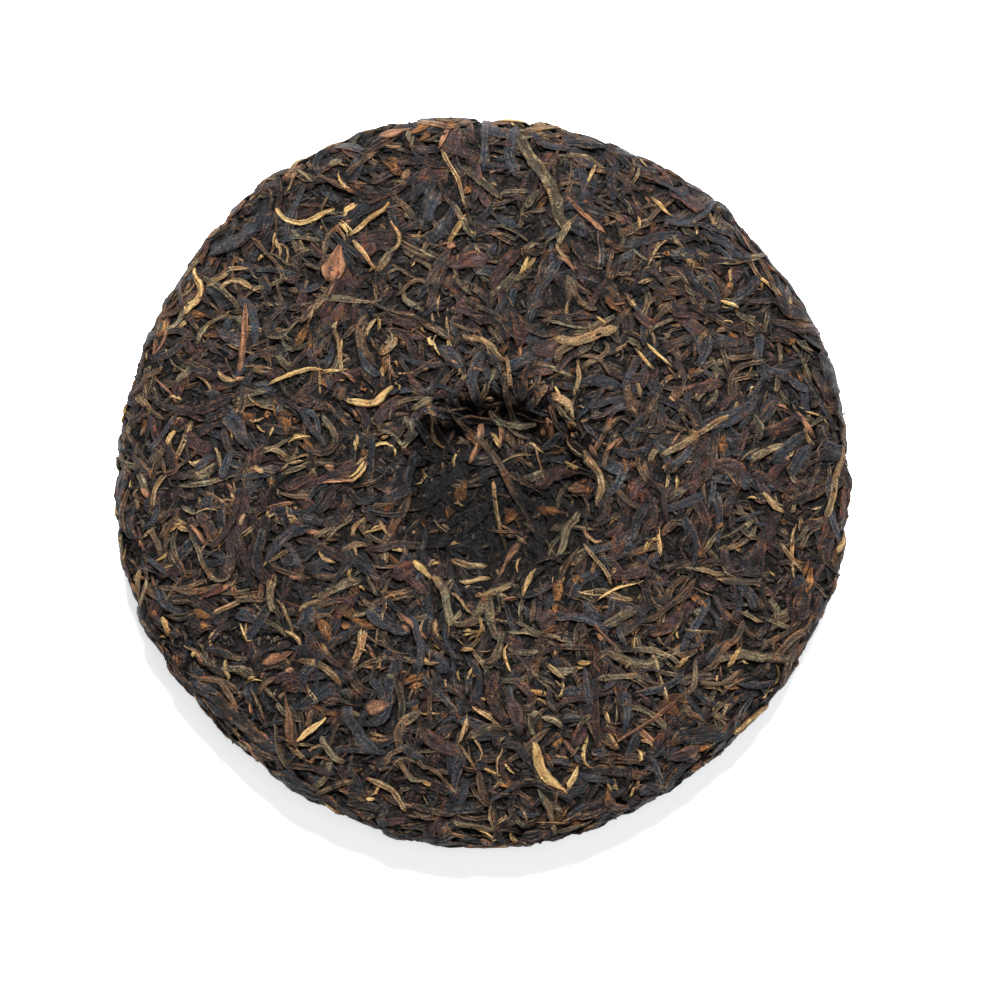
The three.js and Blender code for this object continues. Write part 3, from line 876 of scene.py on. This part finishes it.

# The finish of each kind of leaf: colours as they show on a screen (dark, light, vein, patch, edge), then
# how streaky, ridged, crumpled, stained and patchy it is, how worn its edges are, how rough it is and how
# much it shines. How ridged and crumpled it is also sets its painted highlights on ridges and painted shade
# in creases.
FINISHES = {
    "slate_leaves": (
        ((17, 19, 22), (55, 56, 61), (116, 108, 96), (76, 56, 42), (124, 88, 58)),
        (0.65, 0.45, 1.25, 0.9, 0.6, 0.7, 0.5, 0.15),
    ),
    "charcoal_leaves": (
        ((19, 17, 18), (59, 51, 49), (118, 99, 76), (86, 60, 42), (132, 92, 58)),
        (0.8, 0.5, 1.25, 1.0, 0.6, 0.8, 0.52, 0.12),
    ),
    "purple_leaves": (
        ((32, 25, 27), (71, 56, 54), (108, 86, 70), (100, 66, 45), (130, 84, 56)),
        (0.65, 0.4, 1.25, 0.9, 0.5, 0.8, 0.56, 0.1),
    ),
    "brown_strips": (
        ((33, 26, 22), (87, 70, 54), (142, 119, 90), (44, 35, 32), (134, 92, 56)),
        (0.8, 0.55, 0.9, 1.0, 0.7, 0.7, 0.56, 0.14),
    ),
    "olive_strips": (
        ((39, 34, 28), (102, 89, 69), (158, 141, 110), (48, 41, 36), (72, 52, 36)),
        (0.75, 0.45, 0.9, 0.8, 0.9, 0.5, 0.6, 0.12),
    ),
    "tan_strips": (
        ((68, 54, 39), (132, 110, 81), (166, 145, 112), (86, 62, 42), (104, 70, 42)),
        (0.8, 0.6, 0.7, 0.6, 0.8, 0.7, 0.62, 0.1),
    ),
    "amber_flakes": (
        ((54, 38, 26), (118, 82, 50), (156, 116, 72), (50, 38, 28), (46, 33, 24)),
        (0.8, 0.5, 0.8, 0.5, 0.9, 0.6, 0.6, 0.1),
    ),
    "golden_buds": (
        ((90, 69, 42), (158, 134, 93), (176, 159, 122), (112, 76, 44), (118, 74, 42)),
        (0.7, 0.6, 0.55, 0.35, 0.9, 0.9, 0.66, 0.1),
    ),
    "red_stems": (
        ((58, 40, 31), (121, 88, 66), (144, 112, 86), (54, 39, 31), (62, 40, 30)),
        (0.7, 0.6, 0.3, 0.3, 0.7, 0.4, 0.55, 0.12),
    ),
}


def core_finish():
    """The dark inside of the cake between its leaves."""

    def build(tree, shader):
        place = tree.node("ShaderNodeTexCoord", None, out=3)
        crumbs = tree.noise(place, 900.0, 4.0, 0.6)
        colour = tree.ramp(
            crumbs, (0.35, linear(5, 5, 5)), (0.55, linear(14, 12, 11)), (0.75, linear(44, 35, 28))
        )
        tree.put(shader["Base Color"], colour)
        shader["Roughness"].default_value = 0.8
        shader["Specular IOR Level"].default_value = 0.03
        bump = tree.node("ShaderNodeBump", None, Strength=0.8, Distance=0.0006, Height=crumbs)
        tree.put(shader["Normal"], bump)

    return finish("cake_inside", build)


def crumb_finish():
    """Broken bits of leaf of every colour."""

    def build(tree, shader):
        tone = tree.node("ShaderNodeAttribute", dict(attribute_name="tone"), out=2)
        place = tree.node("ShaderNodeTexCoord", None, out=3)
        spots = tree.noise(place, 1400.0, 3.0, 0.6)
        colour = tree.ramp(
            tone,
            (0.0, linear(6, 6, 7)), (0.5, linear(15, 14, 14)), (0.76, linear(33, 28, 25)),
            (0.94, linear(52, 42, 33)), (0.99, linear(80, 62, 44)), (1.0, linear(118, 92, 62)),
        )
        tree.put(shader["Base Color"], tree.blend((spots - 0.5) * 1.4 + 0.3, colour, linear(24, 20, 19)))
        shader["Roughness"].default_value = 0.6
        shader["Specular IOR Level"].default_value = 0.06

    return finish("leaf_crumbs", build)


class Steps(Tree):
    """A Geometry Nodes tree with named inputs, run once over an object."""

    def __init__(self, name, numbers):
        group = bpy.data.node_groups.new(name, "GeometryNodeTree")
        super().__init__(group)
        group.interface.new_socket("Geometry", in_out="INPUT", socket_type="NodeSocketGeometry")
        group.interface.new_socket("Geometry", in_out="OUTPUT", socket_type="NodeSocketGeometry")
        for key in numbers:
            group.interface.new_socket(key, in_out="INPUT", socket_type="NodeSocketFloat")
        self.given = group.nodes.new("NodeGroupInput")
        self.numbers = numbers

    def input(self, key):
        return Value(self, self.given.outputs[key])

    def run(self, target, result):
        """Runs the tree on an object and gives back a plain mesh of what comes out."""
        output = self.tree.nodes.new("NodeGroupOutput")
        self.put(output.inputs[0], result)
        modifier = target.modifiers.new("shape", "NODES")
        modifier.node_group = self.tree
        for item in self.tree.interface.items_tree:
            if item.in_out == "INPUT" and item.name in self.numbers:
                modifier[item.identifier] = float(self.numbers[item.name])
        bpy.context.view_layer.update()
        graph = bpy.context.evaluated_depsgraph_get()
        mesh = bpy.data.meshes.new_from_object(target.evaluated_get(graph))
        target.modifiers.remove(modifier)
        return mesh


def craggy_core(cake):
    """The dark core, its skin pushed in and out like packed bits of leaf."""
    places, faces = core_grid(cake, 0.0, CORE_ROWS, CORE_TURNS)
    core = new_object("pressed_core", places, faces)
    steps = Steps("craggy skin", {"Crag Height": 0.5 * MM, "Crag Scale": 420.0})
    rough = steps.node("ShaderNodeTexNoise", None, steps.node("GeometryNodeInputPosition", None),
                       Scale=steps.input("Crag Scale"), Detail=2.0)
    push = (rough - 0.62) * steps.input("Crag Height") * 4.0
    normal = steps.node("GeometryNodeInputNormal", None)
    offset = steps.node("ShaderNodeVectorMath", dict(operation="SCALE"), normal, Scale=push)
    moved = steps.node("GeometryNodeSetPosition", None, steps.input("Geometry"), Offset=offset)
    moved = steps.node("GeometryNodeSetMaterial", None, moved, Material=core_finish())
    mesh = steps.run(core, moved)
    core.data = mesh
    return core


def crumbs_over(cake):
    """Small broken bits of leaf scattered over the laid leaves."""
    places, faces = core_grid(cake, 1.0, CRUMB_ROWS, CRUMB_TURNS)
    run = np.repeat(np.linspace(0, WHOLE_RUN, CRUMB_ROWS + 1)[1:-1], CRUMB_TURNS)
    run = np.concatenate([[0], run, [WHOLE_RUN]])
    angle = np.tile(np.linspace(0, 2 * math.pi, CRUMB_TURNS, endpoint=False), CRUMB_ROWS - 1)
    angle = np.concatenate([[0], angle, [0]])
    gap = np.clip((GAP_BELOW - cake.height(run, angle)) / 0.3, 0, 1)
    ground = new_object("crumb_ground", places, faces, {"gap": gap})
    sizes = {
        "Density": 34000.0, "Gap Density": 260000.0, "Seed": 12.0,
        "Least Size": 0.18 * MM, "Most Size": 0.55 * MM, "Gap Size": 0.28 * MM,
    }
    steps = Steps("scattered crumbs", sizes)
    points = steps.tree.nodes.new("GeometryNodeDistributePointsOnFaces")
    steps.put(points.inputs["Mesh"], steps.input("Geometry"))
    gaps = steps.tree.nodes.new("GeometryNodeInputNamedAttribute")
    gaps.data_type = "FLOAT"
    gaps.inputs["Name"].default_value = "gap"
    gaps = Value(steps, gaps.outputs[0])
    steps.put(points.inputs["Density"], steps.input("Density") + gaps * steps.input("Gap Density"))
    steps.put(points.inputs["Seed"], steps.input("Seed"))
    bit = steps.tree.nodes.new("GeometryNodeMeshCone")
    for key, size in {"Vertices": 4, "Radius Top": 0.4, "Radius Bottom": 1.0, "Depth": 4.0}.items():
        bit.inputs[key].default_value = size
    bit = steps.node("GeometryNodeTransform", None, Value(steps, bit.outputs[0]),
                     Rotation=(0, math.pi / 2, 0), Scale=(0.32, 0.75, 0.75))
    spin = steps.tree.nodes.new("FunctionNodeRotateRotation")
    spin.rotation_space = "LOCAL"
    turn = steps.tree.nodes.new("FunctionNodeRandomValue")
    turn.data_type = "FLOAT_VECTOR"
    turn.inputs[0].default_value = (-0.35, -0.35, -math.pi)
    turn.inputs[1].default_value = (0.35, 0.35, math.pi)
    euler = steps.tree.nodes.new("FunctionNodeEulerToRotation")
    steps.tree.links.new(turn.outputs[0], euler.inputs[0])
    steps.tree.links.new(points.outputs["Rotation"], spin.inputs[0])
    steps.tree.links.new(euler.outputs[0], spin.inputs[1])
    size = steps.tree.nodes.new("FunctionNodeRandomValue")
    size.data_type = "FLOAT"
    steps.put(size.inputs[2], steps.input("Least Size") + gaps * steps.input("Gap Size"))
    steps.put(size.inputs[3], steps.input("Most Size") + gaps * steps.input("Gap Size"))
    size.inputs["Seed"].default_value = 5
    placed = steps.tree.nodes.new("GeometryNodeInstanceOnPoints")
    steps.tree.links.new(points.outputs["Points"], placed.inputs["Points"])
    steps.put(placed.inputs["Instance"], bit)
    steps.tree.links.new(spin.outputs[0], placed.inputs["Rotation"])
    steps.tree.links.new(size.outputs[1], placed.inputs["Scale"])
    tone = steps.tree.nodes.new("FunctionNodeRandomValue")
    tone.data_type = "FLOAT"
    tone.inputs["Seed"].default_value = 9
    named = steps.tree.nodes.new("GeometryNodeStoreNamedAttribute")
    named.data_type, named.domain = "FLOAT", "INSTANCE"
    named.inputs["Name"].default_value = "tone"
    steps.tree.links.new(placed.outputs[0], named.inputs["Geometry"])
    steps.tree.links.new(tone.outputs[1], named.inputs["Value"])
    real = steps.node("GeometryNodeRealizeInstances", None, Value(steps, named.outputs[0]))
    real = steps.node("GeometryNodeSetMaterial", None, real, Material=crumb_finish())
    mesh = steps.run(ground, real)
    bpy.data.objects.remove(ground)
    made = bpy.data.objects.new("leaf_crumbs", mesh)
    bpy.context.scene.collection.objects.link(made)
    return made


FLOOR_HALF = 2500.0
CAMERA_AIM = (4.67, -5.3, 17)
CAMERA_TILT = math.radians(88)
CAMERA_DISTANCE = 746


def studio():
    """A pale floor, soft light from the picture's top, and a camera that looks down on the cake."""
    far = FLOOR_HALF
    corners = np.array([[-far, -far, 0], [far, -far, 0], [far, far, 0], [-far, far, 0]])
    floor = new_object("floor", corners, [np.array([[0, 1, 2, 3]])])

    def white(tree, shader):
        shader["Base Color"].default_value = (0.85, 0.85, 0.85, 1)
        shader["Roughness"].default_value = 0.9
        shader["Emission Color"].default_value = (1, 1, 1, 1)
        shader["Emission Strength"].default_value = 0.5
        shader["Specular IOR Level"].default_value = 0.1

    floor.data.materials.append(finish("white_floor", white))

    def light(name, place, aim, size, energy, colour):
        lamp = bpy.data.lights.new(name, "AREA")
        lamp.shape, lamp.size, lamp.energy, lamp.color = "DISK", size, energy, colour
        holder = bpy.data.objects.new(name, lamp)
        bpy.context.scene.collection.objects.link(holder)
        holder.location = place
        holder.rotation_euler = (Vector(aim) - Vector(place)).to_track_quat("-Z", "Y").to_euler()

    light("window", (0.12, 1.02, 1.24), (0, 0, 0), 0.55, 136, (0.975, 0.985, 1.0))
    light("ceiling", (0.2, -0.2, 1.6), (0, 0, 0), 1.2, 8, (0.95, 0.98, 1.0))

    world = bpy.data.worlds.new("white room")
    world.use_nodes = True
    tree = Tree(world.node_tree)
    way = tree.node("ShaderNodeSeparateXYZ", None, tree.node("ShaderNodeTexCoord", None))
    upward = Value(tree, way.socket.node.outputs[2])
    horizon = (1.0 - upward * upward * 9.0).kept()
    sky = world.node_tree.nodes["Background"].inputs
    sky[0].default_value = (0.93, 0.96, 1.0, 1)
    tree.put(sky[1], horizon * horizon * 0.75 + 0.2)
    bpy.context.scene.world = world
    bpy.context.scene.view_settings.view_transform = "Standard"

    camera = bpy.data.cameras.new("camera")
    camera.lens, camera.sensor_width = 100, 36
    holder = bpy.data.objects.new("camera", camera)
    bpy.context.scene.collection.objects.link(holder)
    aim = Vector(CAMERA_AIM) * MM
    back = Vector((0, -math.cos(CAMERA_TILT), math.sin(CAMERA_TILT)))
    holder.location = aim + back * CAMERA_DISTANCE * MM
    holder.rotation_euler = (aim - holder.location).to_track_quat("-Z", "Y").to_euler()
    bpy.context.scene.camera = holder


def dress(piece):
    """Makes a piece stand for the cake's solid."""
    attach(piece, "root")
    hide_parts("tea_cake")


studio()
cake, laid_leaves = lay_cake(draws)
dress(craggy_core(cake))
dress(crumbs_over(cake))
for kind, (colours, amounts) in FINISHES.items():
    piece = leaves_object(kind, cake, [one for one in laid_leaves if one["leaf"].kind == kind])
    piece.data.materials.append(leaf_finish(kind, *(linear(*colour) for colour in colours), *amounts))
    dress(piece)
